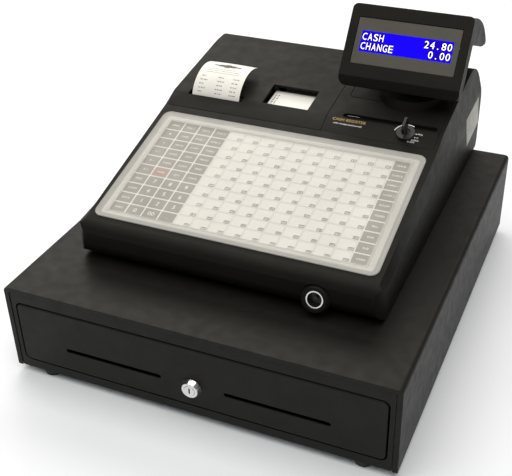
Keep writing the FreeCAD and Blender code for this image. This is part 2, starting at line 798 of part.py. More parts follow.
def paper_band(points, left, right):
    """Thin paper strip that follows a side-view path of (y, z) points."""
    thickness = 0.25
    outer = []
    for index, (y, z) in enumerate(points):
        before = points[max(index - 1, 0)]
        after = points[min(index + 1, len(points) - 1)]
        length = math.hypot(after[0] - before[0], after[1] - before[1])
        outer.append((y - (after[1] - before[1]) / length * thickness,
                      z + (after[0] - before[0]) / length * thickness))
    outline = list(points) + outer[::-1]
    return prism_x(outline, left, right)


def make_paper_webs():
    receipt = paper_band([(97.0, 150.0), (90.0, 155.0), (62.0, 171.0), (54.5, 178.5), (51.9, 186.0), (51.9, 199.0)],
                         receipt_left, receipt_right)
    depth_under = 9.6
    front_z = top_height(window_front) - depth_under
    rear_z = top_height(window_rear) - depth_under
    journal = paper_band([(97.0, 150.0), (90.0, 155.0), (62.0, 171.0), (54.5, 178.5), (51.9, 186.0),
                          (51.9, front_z - 2.6), (54.5, front_z), (window_rear + 4.0, rear_z), (101.5, rear_z - 3.0),
                          (102.6, 196.0), (98.4, 188.8)],
                         journal_left, journal_right)
    return Part.makeCompound([receipt, journal])


def make_receipt_strip():
    """Printed receipt: rises out of the slot, then curls back over the cover."""
    start, rise, bend, end = receipt_curve
    steps = 24
    points = []
    for step in range(steps + 1):
        t = step / steps
        weights = ((1 - t) ** 3, 3 * t * (1 - t) ** 2, 3 * t ** 2 * (1 - t), t ** 3)
        y = sum(w * p[0] for w, p in zip(weights, (start, rise, bend, end)))
        z = sum(w * p[1] for w, p in zip(weights, (start, rise, bend, end)))
        points.append((y, z))
    return paper_band(points, receipt_left, receipt_right)


# ---- electronics ----
def make_main_board():
    board = box(-130.0, 130.0, -125.0, 10.0, 117.6, 119.2)
    chips = [box(x, x + 22.0, -60.0, -38.0, 119.2, 121.4) for x in (-80.0, -20.0, 40.0)]
    sockets = [box(x, x + 30.0, -8.0, 2.0, 119.2, 129.0) for x in (-100.0, 0.0, 70.0)]
    return union([board] + chips + sockets)


def make_power_supply():
    block = box(62.0, 146.0, 95.0, 178.0, 113.0, 160.0)
    winding = box(74.0, 134.0, 108.0, 165.0, 160.0, 168.0)
    return union([block, winding])


def make_rear_ports():
    """Blanking plate, four data sockets and the mains inlet, each with its own flange."""
    ports = [box(-114.0, 16.6, 221.0, 223.0, 141.0, 166.0)]
    for x in (-100.0, -76.0, -52.0, -28.0):
        flange = box(x - 3.3, x + 20.3, 221.0, 223.0, 113.0, 140.6)
        shroud = box(x, x + 17.0, 205.0, 227.0, 124.0, 138.0)
        ports.append(flange.fuse(shroud).cut(box(x + 2.0, x + 15.0, 210.0, 228.0, 126.0, 136.0)))
    flange = box(17.0, 64.0, 221.0, 223.0, 113.0, 166.0)
    shroud = box(20.0, 48.0, 200.0, 227.0, 122.0, 144.0)
    ports.append(flange.fuse(shroud).cut(box(23.0, 45.0, 205.0, 228.0, 125.0, 141.0)))
    return Part.makeCompound(ports)


# ---- display ----
def head_point(along, behind):
    """Side-view point on the head: distance up its face, and depth behind the face."""
    lean = math.radians(head_tilt)
    y = head_centre_y + along * math.cos(lean) + behind * math.sin(lean)
    z = head_centre_z + along * math.sin(lean) - behind * math.cos(lean)
    return y, z


def head_slab(half_width, low, high, front, back, radius):
    """Block square to the head's face, with round corners seen from the front."""
    blank = rounded_plate(half_width, high - low, back - front, radius)
    blank.translate(Vec(0, low, -back))
    blank.rotate(Vec(0, 0, 0), Vec(1, 0, 0), head_tilt)
    blank.translate(Vec(head_x, head_centre_y, head_centre_z))
    return blank


def head_wedge(outline):
    """Cutter across the whole head; the outline is (along, behind) points on its side view."""
    return prism_x([head_point(along, behind) for along, behind in outline], 20.0, 180.0)


def make_display_bezel():
    frame = head_slab(head_half_width, head_low, head_high, 0.0, bezel_depth, head_corner)
    chamfer = head_wedge([(face_low, 0.0), (head_low, bezel_depth - 1.0), (head_low - 9.0, bezel_depth - 1.0),
                          (head_low - 9.0, -9.0), (face_low, -9.0)])
    hollow = head_slab(head_half_width - head_wall, face_low + head_wall, head_high - head_wall,
                       2.2, bezel_depth + 1.0, 3.0)
    opening = head_slab(screen_half_width, screen_low, screen_high, -1.0, 3.0, 1.5)
    return frame.cut(chamfer).cut(hollow).cut(opening)


def pod_outline():
    """Side view of the rear pod that carries the customer's display: a rounded hook."""
    start = head_point(head_high + 0.8, bezel_depth + 0.4)
    top = [start, (150.0, 298.4), (176.9, 286.7), (199.5, 271.5), (214.5, 255.6), (219.4, 249.2)]
    bottom = [(213.6, 246.4), (195.3, 250.2), (165.0, 263.0), (134.1, 275.6)]
    curves = []
    for points in (top, bottom):
        curve = Part.BSplineCurve()
        curve.interpolate([Vec(0, y, z) for y, z in points])
        curves.append(curve)
    nose = Part.Arc(Vec(0, *top[-1]), Vec(0, 218.6, 246.2), Vec(0, *bottom[0]))
    end = head_point(2.0, bezel_depth + 0.4)
    lines = [curves[0], nose, curves[1], Part.LineSegment(Vec(0, *bottom[-1]), Vec(0, *end)),
             Part.LineSegment(Vec(0, *end), Vec(0, *start))]
    return Part.Wire([line.toShape() for line in lines])


def make_pod():
    half = head_half_width - 3.5
    pod = Part.Face(pod_outline()).extrude(Vec(2.0 * half, 0, 0))
    pod.translate(Vec(head_x - half, 0, 0))
    return pod


def make_pod_hollow():
    half = head_half_width - 6.0
    outline = [head_point(34.0, bezel_depth + 1.0), (150.0, 295.4), (176.9, 283.6), (197.6, 269.2), (211.6, 254.8),
               (214.4, 250.0), (212.6, 249.4), (195.9, 253.0), (166.0, 265.6), (134.9, 278.4),
               head_point(2.0, slab_depth - 5.4)]
    return prism_x(outline, head_x - half, head_x + half)


def make_display_rear_shell():
    slab = head_slab(head_half_width, head_low, head_high, bezel_depth + 0.2, slab_depth, head_corner)
    chamfer = head_wedge([(head_low, bezel_depth + 1.0), (face_low - 1.0, slab_depth), (face_low - 1.0, slab_depth + 9.0),
                          (head_low - 9.0, slab_depth + 9.0), (head_low - 9.0, bezel_depth + 1.0)])
    slab_hollow = head_slab(head_half_width - head_wall, face_low + head_wall, head_high - head_wall,
                            bezel_depth, slab_depth - 2.2, 3.0)
    lugs = [prism_x([head_point(-12.0, slab_depth - 1.0), head_point(14.0, slab_depth - 1.0),
                     (tilt_axis_y + 4.0, tilt_axis_z + 5.6), (tilt_axis_y + 4.0, tilt_axis_z - 5.6)],
                    pedestal_x + side - 3.0, pedestal_x + side + 3.0) for side in (-9.0, 9.0)]
    eyes = [rod_x(pedestal_x + side - 3.0, pedestal_x + side + 3.0, tilt_axis_y, tilt_axis_z, 7.0)
            for side in (-9.0, 9.0)]
    shell = union([slab.cut(chamfer), make_pod()]).cut(slab_hollow).cut(make_pod_hollow())
    bore = rod_x(pedestal_x - 20.0, pedestal_x + 20.0, tilt_axis_y, tilt_axis_z, 3.0)
    window = customer_block(48.0, 14.0, -4.0, 6.0)
    return union([shell] + lugs + eyes).cut(bore).cut(window)


def customer_block(half_width, half_height, low, high):
    """Block square to the sloping back of the pod."""
    slope = math.degrees(math.atan2(286.7 - 264.1, 207.6 - 176.9))
    block = box(-half_width, half_width, -half_height, half_height, low, high)
    block.rotate(Vec(0, 0, 0), Vec(1, 0, 0), -slope)
    block.translate(Vec(head_x, 191.5, 276.2))
    return block


def make_operator_window():
    gap = 0.4
    return head_slab(screen_half_width - gap, screen_low + gap, screen_high - gap, 0.9, 2.0, 1.2)


def make_operator_lcd():
    screen = head_slab(50.3, -11.4, 11.6, 2.2, 4.0, 0.5)
    board = head_slab(58.0, -30.0, 30.0, 4.0, bezel_depth - 0.2, 1.0)
    return union([screen, board])


def make_customer_display():
    return customer_block(47.6, 13.6, -6.0, -0.6)


def make_display_pin():
    return rod_x(pedestal_x - 19.0, pedestal_x + 19.0, tilt_axis_y, tilt_axis_z, 3.0)


def make_display_base(outer):
    disc = Part.makeCone(pedestal_radius, pedestal_radius - 5.0, 24.0, Vec(pedestal_x, pedestal_y, 197.0))
    collar = Part.makeCone(24.0, 20.0, 12.0, Vec(pedestal_x, pedestal_y + 10.0, 221.0))
    wire_way = rod(Vec(pedestal_x, pedestal_y + 12.0, 190.0), Vec(0, 0, 1), 7.0, 60.0)
    return union([disc, collar]).cut(outer).cut(wire_way)


def make_display_yoke():
    foot = rod(Vec(pedestal_x, pedestal_y + 12.0, 233.0), Vec(0, 0, 1), 18.0, 4.0)
    ears = []
    for side in (-15.6, 15.6):
        ear = box(pedestal_x + side - 2.4, pedestal_x + side + 2.4, tilt_axis_y - 7.0, tilt_axis_y + 7.0, 233.0,
                  tilt_axis_z)
        ears.append(ear)
        ears.append(rod_x(pedestal_x + side - 2.4, pedestal_x + side + 2.4, tilt_axis_y, tilt_axis_z, 7.0))
    foot = foot.common(box(pedestal_x - 18.0, pedestal_x + 18.0, 100.0, 150.0, 230.0, 240.0))
    bore = rod_x(pedestal_x - 20.0, pedestal_x + 20.0, tilt_axis_y, tilt_axis_z, 3.0 + running_gap)
    wire_way = rod(Vec(pedestal_x, pedestal_y + 12.0, 190.0), Vec(0, 0, 1), 7.0, 60.0)
    return union([foot] + ears).cut(bore).cut(wire_way)


def main():
    os.makedirs("parts", exist_ok=True)
    outer = case_body(0)
    shell = outer.cut(case_body(case_wall))
    nodes = {
        "drawer_cover": make_drawer_cover(),
        "drawer_base": make_drawer_base(),
        "drawer_front_frame": make_front_frame(),
        "drawer_rear_panel": make_rear_panel(),
        "outer_rails": make_outer_rails(),
        "middle_rails": make_middle_rails(),
        "inner_rails": make_inner_rails(),
        "latch_lever": make_latch_lever(),
        "latch_solenoid": make_latch_solenoid(),
        "ejector_springs": make_ejector_springs(),
        "drawer_feet": make_drawer_feet(),
        "screws": make_screws(),
        "drawer_tray": make_drawer_tray(),
        "drawer_front": make_drawer_front(),
        "drawer_lock_body": make_drawer_lock_body(),
        "drawer_lock_cylinder": make_drawer_lock_cylinder(),
        "drawer_lock_cam": make_drawer_lock_cam(),
        "till": make_till(),
        "coin_cups": make_coin_cups(),
        "clip_axle": make_clip_axle(),
        "lower_case": make_lower_case(shell.copy()),
        "upper_case": make_upper_case(shell.copy()),
        "printer_cover": make_printer_cover(shell.copy()),
        "lock_panel": make_lock_panel(shell.copy()),
        "register_feet": make_register_feet(),
        "keyboard_board": make_keyboard_board(),
        "key_sheet": make_key_sheet(),
        "keyboard_cover": make_keyboard_cover(),
        "reader_bezel": make_reader_bezel(),
        "reader_contact": make_reader_contact(),
        "mode_lock_body": make_mode_lock_body(),
        "mode_lock_cylinder": make_mode_lock_cylinder(),
        "mode_key": make_mode_key(),
        "printer_chassis": make_printer_chassis(),
        "thermal_heads": make_thermal_heads(),
        "receipt_platen": make_receipt_platen(),
        "journal_platen": make_journal_platen(),
        "motor_pinion": make_motor_pinion(),
        "print_motor": make_print_motor(),
        "receipt_roll": paper_roll(receipt_left, receipt_right),
        "journal_roll": paper_roll(journal_left, journal_right),
        "take_up_spool": make_take_up_spool(),
        "paper_webs": make_paper_webs(),
        "receipt_strip": make_receipt_strip(),
        "main_board": make_main_board(),
        "power_supply": make_power_supply(),
        "rear_ports": make_rear_ports(),
        "display_bezel": make_display_bezel(),
        "display_rear_shell": make_display_rear_shell(),
        "operator_window": make_operator_window(),
        "operator_lcd": make_operator_lcd(),
        "customer_display": make_customer_display(),
        "display_pin": make_display_pin(),
        "display_base": make_display_base(outer.copy()),
        "display_yoke": make_display_yoke(),
    }
    for index in range(bill_count):
        nodes["bill_clip_" + str(index + 1)] = make_bill_clip(index)
    for name, shape in nodes.items():
        save(name, shape)
        print(name, "valid" if shape.isValid() else "NOT VALID", len(shape.Solids), round(shape.Volume))


main()
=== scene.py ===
import json
import math
import random

import bmesh
import bpy
from mathutils import Matrix, Vector
from mathutils.bvhtree import BVHTree


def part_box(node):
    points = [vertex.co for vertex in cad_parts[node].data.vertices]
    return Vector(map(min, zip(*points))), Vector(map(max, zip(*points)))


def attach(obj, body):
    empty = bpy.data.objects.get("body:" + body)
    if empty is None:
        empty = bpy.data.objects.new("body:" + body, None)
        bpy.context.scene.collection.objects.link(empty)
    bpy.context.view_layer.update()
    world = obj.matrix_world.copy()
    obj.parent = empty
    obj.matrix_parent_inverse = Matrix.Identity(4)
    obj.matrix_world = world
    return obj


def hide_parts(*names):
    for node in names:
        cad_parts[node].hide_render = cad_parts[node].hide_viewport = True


# Cash register on its drawer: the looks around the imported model. Metres, -Y is the clerk's side.

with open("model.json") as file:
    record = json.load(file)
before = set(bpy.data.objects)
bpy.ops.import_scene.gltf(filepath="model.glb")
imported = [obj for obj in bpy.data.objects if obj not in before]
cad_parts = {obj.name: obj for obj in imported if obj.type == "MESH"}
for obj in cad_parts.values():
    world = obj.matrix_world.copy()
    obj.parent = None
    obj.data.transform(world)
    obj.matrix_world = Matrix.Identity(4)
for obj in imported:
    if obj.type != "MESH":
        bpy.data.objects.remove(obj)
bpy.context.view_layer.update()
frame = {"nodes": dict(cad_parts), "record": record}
record = frame["record"]
mm = 0.001
print("frame loaded:", len(frame["nodes"]), "nodes")


# camera and lamps
view = {
    "eye": (0.34067, -0.81746, 0.64604),
    "azimuth": 23.03,
    "elevation": 32.886,
    "roll": -0.78,
    "lens": 65.7,
    "shift": (-0.0457, -0.0029),
}


def placeCamera(setup):
    az, el, roll = (math.radians(setup[k]) for k in ("azimuth", "elevation", "roll"))
    look = Vector((-math.sin(az) * math.cos(el), math.cos(az) * math.cos(el), -math.sin(el)))
    right = Vector((math.cos(az), math.sin(az), 0))
    up = right.cross(look)
    turnedRight = right * math.cos(roll) + up * math.sin(roll)
    turnedUp = up * math.cos(roll) - right * math.sin(roll)
    turn = Matrix((turnedRight, turnedUp, -look)).transposed()
    data = bpy.data.cameras.new("registerCamera")
    data.lens = setup["lens"]
    data.sensor_width = 36
    data.shift_x, data.shift_y = setup["shift"]
    camera = bpy.data.objects.new("registerCamera", data)
    camera.matrix_world = Matrix.Translation(setup["eye"]) @ turn.to_4x4()
    bpy.context.scene.collection.objects.link(camera)
    bpy.context.scene.camera = camera


studio = {
    "sky": (1.0, 0.97, 0.92),
    "skyStrength": 0.2,
    "lampColour": (1.0, 0.965, 0.89),
    "floor": (0.88, 0.92, 0.99),
    # name, where it hangs, what it points at, width, height, watts
    "lamps": [
        ("topLamp", (0.0, -0.6, 3.0), (0, 0, 0), 4.4, 3.4, 105),
        ("rearLamp", (-0.6, 2.3, 2.5), (0, 0, 0.1), 3.2, 1.6, 46),
        ("leftSoftbox", (-1.75, 1.5, 1.45), (0, 0, 0.1), 2.0, 1.2, 15),
    ],
}


def lightStudio(setup):
    world = bpy.data.worlds.new("studioSky")
    world.use_nodes = True
    background = world.node_tree.nodes["Background"]
    background.inputs["Color"].default_value = (*setup["sky"], 1)
    background.inputs["Strength"].default_value = setup["skyStrength"]
    bpy.context.scene.world = world
    for name, spot, aim, width, height, watts in setup["lamps"]:
        data = bpy.data.lights.new(name, "AREA")
        data.shape = "RECTANGLE"
        data.size, data.size_y = width, height
        data.energy = watts
        data.color = setup["lampColour"]
        lamp = bpy.data.objects.new(name, data)
        lamp.location = spot
        lamp.rotation_euler = (Vector(aim) - Vector(spot)).to_track_quat("-Z", "Y").to_euler()
        bpy.context.scene.collection.objects.link(lamp)


# materials
def startMaterial(name):
    material = bpy.data.materials.new(name)
    material.use_nodes = True
    tree = material.node_tree
    return material, tree, tree.nodes["Principled BSDF"]


def addNode(tree, kind, **values):
    node = tree.nodes.new(kind)
    for key, value in values.items():
        if key in node.inputs:
            node.inputs[key].default_value = value
        else:
            setattr(node, key, value)
    return node


def noiseOf(tree, size, detail=3.0, stretch=None):
    place = addNode(tree, "ShaderNodeTexCoord")
    vector = place.outputs["Object"]
    if stretch:
        mapping = addNode(tree, "ShaderNodeMapping")
        mapping.inputs["Scale"].default_value = stretch
        tree.links.new(vector, mapping.inputs["Vector"])
        vector = mapping.outputs["Vector"]
    noise = addNode(tree, "ShaderNodeTexNoise", Scale=1.0 / size, Detail=detail)
    tree.links.new(vector, noise.inputs["Vector"])
    return noise.outputs["Fac"]


def spread(tree, source, low, high, fromLow=0.3, fromHigh=0.7):
    ranger = addNode(tree, "ShaderNodeMapRange")
    ranger.inputs["From Min"].default_value = fromLow
    ranger.inputs["From Max"].default_value = fromHigh
    ranger.inputs["To Min"].default_value = low
    ranger.inputs["To Max"].default_value = high
    tree.links.new(source, ranger.inputs["Value"])
    return ranger.outputs["Result"]


def mixColour(tree, factor, first, second):
    mix = addNode(tree, "ShaderNodeMix", data_type="RGBA")
    for socket, value in ((mix.inputs[6], first), (mix.inputs[7], second)):
        if isinstance(value, tuple):
            socket.default_value = (*value, 1)
        else:
            tree.links.new(value, socket)
    tree.links.new(factor, mix.inputs[0])
    return mix.outputs[2]


# what a look has unless its own row says otherwise; sizes are in metres
usualLook = {"vary": 0.12, "patch": 0.03, "grain": 0.0005, "stretch": None, "fleck": 0.25, "wear": 0,
             "roughVary": 0.06, "bump": 0.5, "depth": 0.00005, "metal": 0.0, "specular": 0.5, "coat": 0.0,
             "coatRough": 0.1}
fleckShade = 0.6  # how dark the flecks are beside the base colour
stainSize = 0.012  # size of the patches of other roughness
pointyFrom, pointyTo = 0.52, 0.60  # where an edge starts to look worn, and where it is fully worn


def surface(name, ownLook):
    look = {**usualLook, **ownLook}
    material, tree, shader = startMaterial(name)
    base = look["colour"]
    patch = spread(tree, noiseOf(tree, look["patch"]), 0, 1)
    low = tuple(c * (1 - look["vary"]) for c in base)
    high = tuple(min(1, c * (1 + look["vary"])) for c in base)
    colour = mixColour(tree, patch, low, high)
    fine = noiseOf(tree, look["grain"], 2.0, look["stretch"])
    flecks = spread(tree, fine, 0, look["fleck"])
    colour = mixColour(tree, flecks, colour, tuple(c * fleckShade for c in base))
    if look["wear"]:
        edge = addNode(tree, "ShaderNodeNewGeometry")
        worn = spread(tree, edge.outputs["Pointiness"], 0, look["wear"], pointyFrom, pointyTo)
        colour = mixColour(tree, worn, colour, tuple(min(1, c * 3 + 0.03) for c in base))
    tree.links.new(colour, shader.inputs["Base Color"])
    rough = look["rough"]
    swing = look["roughVary"]
    stains = spread(tree, noiseOf(tree, stainSize, 4.0), rough - swing, rough + swing)
    tree.links.new(stains, shader.inputs["Roughness"])
    bump = addNode(tree, "ShaderNodeBump", Strength=look["bump"], Distance=look["depth"])
    tree.links.new(fine, bump.inputs["Height"])
    tree.links.new(bump.outputs["Normal"], shader.inputs["Normal"])
    shader.inputs["Metallic"].default_value = look["metal"]
    shader.inputs["Specular IOR Level"].default_value = look["specular"]
    shader.inputs["Coat Weight"].default_value = look["coat"]
    shader.inputs["Coat Roughness"].default_value = look["coatRough"]
    if "glow" in look:
        shader.inputs["Emission Color"].default_value = (*look["glow"], 1)
        shader.inputs["Emission Strength"].default_value = look["glowStrength"]
    if "alpha" in look:
        shader.inputs["Alpha"].default_value = look["alpha"]
    return material


# one look for each material slot of the record, and a few for prints and trims
looks = {
    "black_powder_coat": {"colour": (0.0086, 0.0081, 0.0072), "rough": 0.5, "grain": 0.0007,
                          "depth": 0.00007, "bump": 0.6, "patch": 0.08, "specular": 0.18},
    "zinc_steel": {"colour": (0.52, 0.53, 0.54), "rough": 0.34, "metal": 1.0, "grain": 0.0006,
                   "patch": 0.012, "vary": 0.18, "stretch": (1, 0.12, 1), "depth": 0.00002},
    "chrome": {"colour": (0.82, 0.82, 0.83), "rough": 0.12, "metal": 1.0, "roughVary": 0.04, "fleck": 0.06,
               "depth": 0.000008, "vary": 0.04},
    "spring_steel": {"colour": (0.36, 0.36, 0.37), "rough": 0.3, "metal": 1.0, "patch": 0.01},
    "black_rubber": {"colour": (0.014, 0.014, 0.014), "rough": 0.78, "grain": 0.0009, "depth": 0.0001,
                     "fleck": 0.4},
    "case_plastic": {"colour": (0.0102, 0.0096, 0.0085), "rough": 0.5, "grain": 0.00045, "depth": 0.00004,
                     "bump": 0.55, "patch": 0.05, "fleck": 0.3, "specular": 0.1},
    "till_plastic": {"colour": (0.03, 0.03, 0.032), "rough": 0.5, "grain": 0.0006, "patch": 0.04,
                     "wear": 0.3},
    "clip_plastic": {"colour": (0.05, 0.05, 0.055), "rough": 0.4, "grain": 0.0006, "wear": 0.3},
    "key_legend_sheet": {"colour": (0.70, 0.69, 0.665), "rough": 0.5, "grain": 0.0008, "vary": 0.03,
                         "fleck": 0.04},
    "circuit_board": {"colour": (0.02, 0.11, 0.045), "rough": 0.35, "grain": 0.0012, "stretch": (1, 0.2, 1)},
    "contact_metal": {"colour": (0.78, 0.78, 0.77), "rough": 0.16, "metal": 1.0, "fleck": 0.08, "vary": 0.05,
                      "depth": 0.00001},
    "lock_metal": {"colour": (0.014, 0.014, 0.015), "rough": 0.3, "metal": 0.2, "wear": 0.4,
                   "grain": 0.0004},
    "key_metal": {"colour": (0.012, 0.012, 0.0125), "rough": 0.36, "metal": 0.2, "grain": 0.0005},
    "thermal_head": {"colour": (0.45, 0.38, 0.3), "rough": 0.4, "grain": 0.0006},
    "paper": {"colour": (0.85, 0.845, 0.82), "rough": 0.62, "grain": 0.0007, "vary": 0.03, "fleck": 0.03,
              "patch": 0.02},
    "power_unit": {"colour": (0.26, 0.26, 0.27), "rough": 0.45, "metal": 0.6, "grain": 0.0008},
    "port_plastic": {"colour": (0.06, 0.06, 0.065), "rough": 0.38, "grain": 0.0006},
    "lens": {"colour": (0.062, 0.058, 0.049), "rough": 0.4, "grain": 0.0006, "vary": 0.05, "fleck": 0.08,
             "coat": 0.1, "specular": 0.25},
    "blue_screen": {"colour": (0.002, 0.0, 0.2), "rough": 0.6, "glow": (0.008, 0.0, 1.0),
                    "glowStrength": 0.9, "grain": 0.0006, "fleck": 0.12, "specular": 0.03},
    "screenCell": {"colour": (0.002, 0.0, 0.1), "rough": 0.6, "glow": (0.012, 0.0, 0.5),
                   "glowStrength": 0.85, "grain": 0.0006, "fleck": 0.12, "specular": 0.03},
    "goldInk": {"colour": (0.50, 0.33, 0.12), "rough": 0.4, "metal": 0.3, "grain": 0.0004, "vary": 0.08},
    "customer_screen": {"colour": (0.008, 0.014, 0.016), "rough": 0.12, "grain": 0.0006, "coat": 0.5},
    "greyKeyPrint": {"colour": (0.285, 0.273, 0.248), "rough": 0.5, "grain": 0.0008, "vary": 0.08,
                     "fleck": 0.08},
    "pinkKeyPrint": {"colour": (0.38, 0.26, 0.235), "rough": 0.5, "grain": 0.0008, "vary": 0.08,
                     "fleck": 0.08},
    "whiteInk": {"colour": (0.86, 0.85, 0.82), "rough": 0.5, "grain": 0.0006, "vary": 0.03, "fleck": 0.05},
    "darkInk": {"colour": (0.035, 0.033, 0.030), "rough": 0.55, "grain": 0.0004, "vary": 0.1, "fleck": 0.2},
    "paleInk": {"colour": (0.42, 0.40, 0.36), "rough": 0.55, "grain": 0.0004, "vary": 0.1, "fleck": 0.2},
    "screenText": {"colour": (0.9, 0.9, 1.0), "rough": 0.4, "glow": (0.85, 0.87, 1.0), "glowStrength": 1.0},
    "silverLabel": {"colour": (0.34, 0.33, 0.29), "rough": 0.42, "metal": 0.4, "grain": 0.0016, "fleck": 0.5,
                    "vary": 0.2, "patch": 0.008},
}
looks["silicone"] = {"colour": (0.68, 0.672, 0.648), "rough": 0.34, "grain": 0.002, "depth": 0.00006,
                     "vary": 0.05, "fleck": 0.05, "alpha": 0.36, "coat": 0.2, "coatRough": 0.25}
looks["clearSilicone"] = dict(looks["silicone"], alpha=0.07, coat=0.1)
finish = {name: surface(name, look) for name, look in looks.items()}
print("finishes mixed:", len(finish))


# helpers for pieces
bodyOfNode = {}
for bodyName, bodyNodes in record["behaviour"]["bodies"].items():
    for nodeName in bodyNodes:
        bodyOfNode[nodeName] = bodyName
slotOfNode = {part["node"]: part["material_slot"] for part in record["subparts"]}


smoothAngle = 32  # edges that turn less than this many degrees are shaded smooth


def smoothShade(mesh, angle=smoothAngle):
    mesh.polygons.foreach_set("use_smooth", [True] * len(mesh.polygons))
    mesh.set_sharp_from_angle(angle=math.radians(angle))


def makePiece(name, mesh, body, material, nodes=(), slotName=None, evenShade=True):
    piece = bpy.data.objects.new(name, mesh)
    bpy.context.scene.collection.objects.link(piece)
    if material and not mesh.materials:
        mesh.materials.append(material)
    if evenShade:
        weigh = piece.modifiers.new("evenShade", "WEIGHTED_NORMAL")
        weigh.keep_sharp = True
    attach(piece, body)
    if nodes:
        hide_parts(*nodes)
    return piece


def meshFrom(name, verts, faces):
    mesh = bpy.data.meshes.new(name)
    mesh.from_pydata([tuple(v) for v in verts], [], faces)
    mesh.update()
    return mesh


def softenedCopy(node, width, smooth, segments=2, hardAngle=28):
    mesh = frame["nodes"][node].data.copy()
    mesh.materials.clear()
    work = bmesh.new()
    work.from_mesh(mesh)
    bmesh.ops.remove_doubles(work, verts=work.verts, dist=0.01 * mm)
    bmesh.ops.dissolve_limit(work, angle_limit=math.radians(0.7), verts=work.verts, edges=work.edges)
    bmesh.ops.recalc_face_normals(work, faces=work.faces)
    if width:
        limit = math.radians(hardAngle)
        hard = [e for e in work.edges if len(e.link_faces) == 2 and e.calc_face_angle(0) > limit]
        bmesh.ops.bevel(work, geom=hard, offset=width, offset_type="OFFSET", segments=segments, profile=0.5,
                        affect="EDGES", clamp_overlap=True, harden_normals=False)
    work.to_mesh(mesh)
    work.free()
    smoothShade(mesh, smooth)
    return mesh


# how far the edges of each node are rounded, in millimetres; the rest get edgeDefault
edgeDefault = 0.25
edgeRound = {
    "drawer_cover": 0.3, "drawer_front_frame": 0.35, "drawer_front": 0, "upper_case": 0.8, "lower_case": 0.6,
    "printer_cover": 0.8, "lock_panel": 0.7, "display_bezel": 1.3, "display_rear_shell": 1.3, "till": 0.7,
    "coin_cups": 0.7, "reader_bezel": 0.5, "mode_key": 0.5, "display_base": 1.2, "display_yoke": 0.8,
    "drawer_feet": 0.8, "operator_window": 0.1, "rear_ports": 0.3, "drawer_lock_body": 0.5, "paper_webs": 0,
    "motor_pinion": 0.06, "receipt_platen": 0.08, "journal_platen": 0.08,
}
# the flat front keeps its own shading up to its corners
smoothUpTo = {"drawer_front": 12}
# these get a piece of their own further down
handMade = {"keyboard_cover", "receipt_strip", "ejector_springs", "operator_lcd"}

for nodeName in frame["nodes"]:
    if nodeName in handMade:
        continue
    width = edgeRound.get(nodeName, edgeDefault) * mm
    skin = softenedCopy(nodeName, width, smoothUpTo.get(nodeName, smoothAngle))
    slotName = slotOfNode[nodeName]
    makePiece(nodeName + "_skin", skin, bodyOfNode[nodeName], finish[slotName], [nodeName], slotName)


# the reader's cup is dark inside; only its front rim and the pin's end are bare metal
readerCup = {"lean": 15, "brightDepth": 0.7 * mm}


def darkenCup():
    mesh = bpy.data.objects["reader_contact_skin"].data
    mesh.materials.append(finish["lock_metal"])
    lean = math.radians(readerCup["lean"])
    outward = Vector((0, -math.cos(lean), math.sin(lean)))
    reach = max(v.co.dot(outward) for v in mesh.vertices)
    for face in mesh.polygons:
        if face.center.dot(outward) < reach - readerCup["brightDepth"]:
            face.material_index = 1


darkenCup()
print("node skins made:", len(frame["nodes"]) - len(handMade))


# keyboard
keyboard = {
    "slope": 14.31,
    "coverHalfWidth": 151.2 * mm,
    "coverDepth": 170.3 * mm,
    "coverCorner": 9.0 * mm,
    "columns": 15,
    "rows": 10,
    "left": -138.5 * mm,
    "right": 138.7 * mm,
    "front": 10.0 * mm,
    "back": 157.4 * mm,
    "gap": 1.5 * mm,
    "sheetTop": -0.2 * mm,
    "printCorner": 0.8 * mm,
    "bigLegend": 7.4 * mm,
    "smallLegend": 3.5 * mm,
    "outlineInset": 0.45 * mm,
    "outlineWidth": 0.28 * mm,
    "numberBox": (5.4 * mm, 3.7 * mm),
    "numberBoxWidth": 0.5 * mm,
    "numberSize": 3.2 * mm,
    "pinkKey": (5, 1),  # row and column
}


def deckFrame():
    lean = math.radians(keyboard["slope"])
    low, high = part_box("keyboard_cover")
    origin = Vector((0, low[1] + 1.5 * mm * math.sin(lean), low[2] - 0.2 * mm * math.cos(lean)))
    return Matrix.Translation(origin) @ Matrix.Rotation(lean, 4, "X")


deck = deckFrame()


def roundedLoop(halfWidth, low, high, radius, steps=8):
    points = []
    for cx, cy, start in ((halfWidth - radius, high - radius, 0), (-halfWidth + radius, high - radius, 90),
                          (-halfWidth + radius, low + radius, 180), (halfWidth - radius, low + radius, 270)):
        for step in range(steps + 1):
            angle = math.radians(start + 90 * step / steps)
            points.append((cx + radius * math.cos(angle), cy + radius * math.sin(angle)))
    return points


def lofted(name, loops, place, capFirst=True, capLast=True):
    verts = [place @ Vector(p) for loop in loops for p in loop]
    count = len(loops[0])
    faces = []
    for row in range(len(loops) - 1):
        for i in range(count):
            j = (i + 1) % count
            faces.append((row * count + i, row * count + j, (row + 1) * count + j, (row + 1) * count + i))
    if capFirst:
        faces.append(tuple(range(count))[::-1])
    if capLast:
        faces.append(tuple(range((len(loops) - 1) * count, len(loops) * count)))
    mesh = meshFrom(name, verts, faces)
    return mesh


